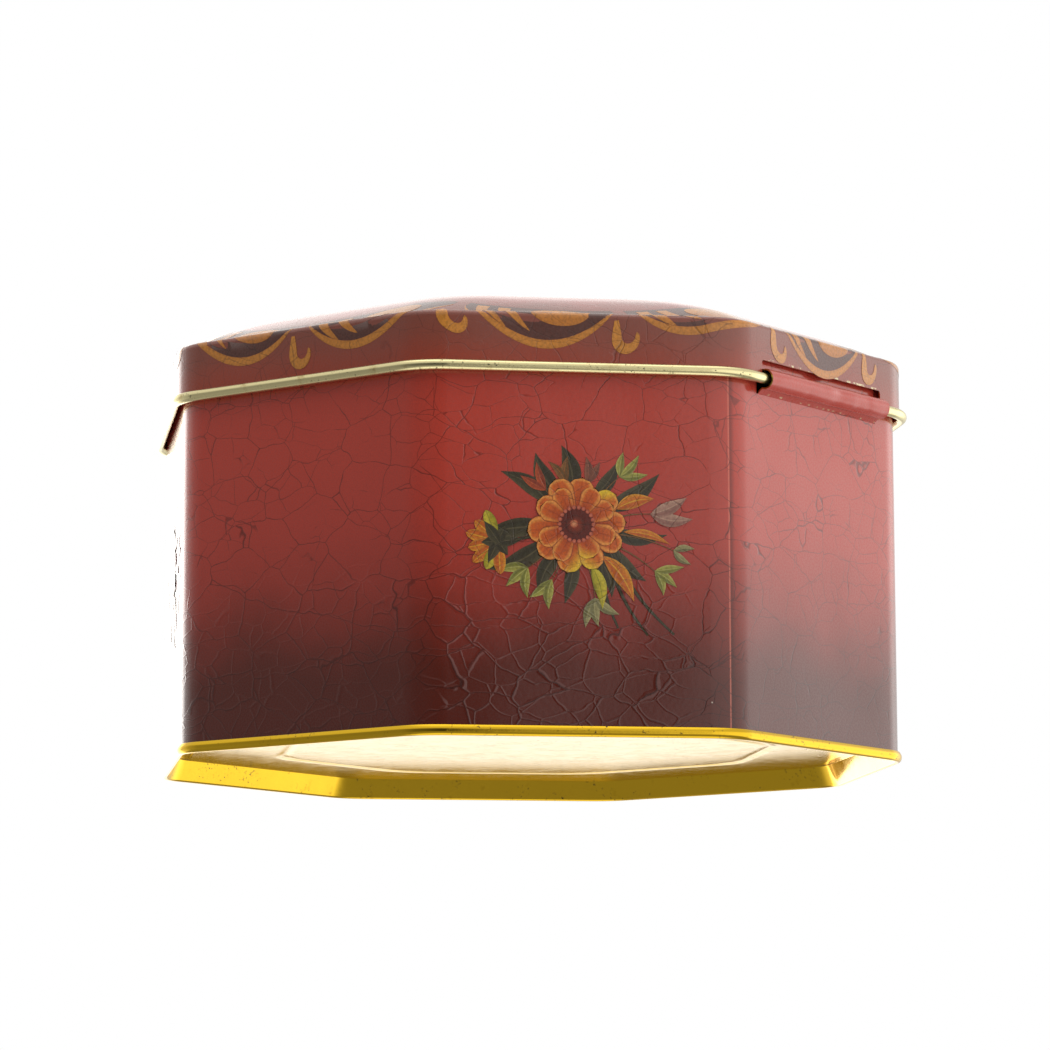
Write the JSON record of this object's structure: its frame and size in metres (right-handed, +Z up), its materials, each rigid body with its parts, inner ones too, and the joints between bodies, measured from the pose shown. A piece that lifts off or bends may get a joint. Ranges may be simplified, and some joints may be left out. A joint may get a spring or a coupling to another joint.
{
  "type": "hinged octagonal tin",
  "caption": "Shallow eight-sided tinplate container with rounded corners, recessed seamed base and a domed lid that opens on a wrap-around sheet hinge.",
  "frame": {"origin": "centre of the octagon, on the plane of the base seam that the tin stands on", "axes": "+Z up, +Y out of the flat face that carries the hinge, hinge axis along X"},
  "size_m": [0.156, 0.1569, 0.0948],
  "materials": {
    "printed_body": "gloss lithographed red over tinplate, crazed, darker towards the base",
    "gold_lacquer": "gloss gold lacquer over tinplate, tarnished along the seam",
    "printed_lid": "gloss lithographed maroon with gold scrolls, gold lacquered rolled edge",
    "steel_wire": "drawn wire, hidden in the rolled edge"
  },
  "bodies": {
    "tin": {"body_wall": "printed_body", "base_panel": "gold_lacquer"},
    "lid": {"lid_shell": "printed_lid", "lid_edge_wire": "steel_wire"}
  },
  "joints": [
    {"name": "lid_hinge", "type": "hinge", "parent": "tin", "child": "lid", "pos_m": [0, 0.07685, 0.0731], "axis": [-1, 0, 0], "range_deg": [0, 180]}
  ]
}
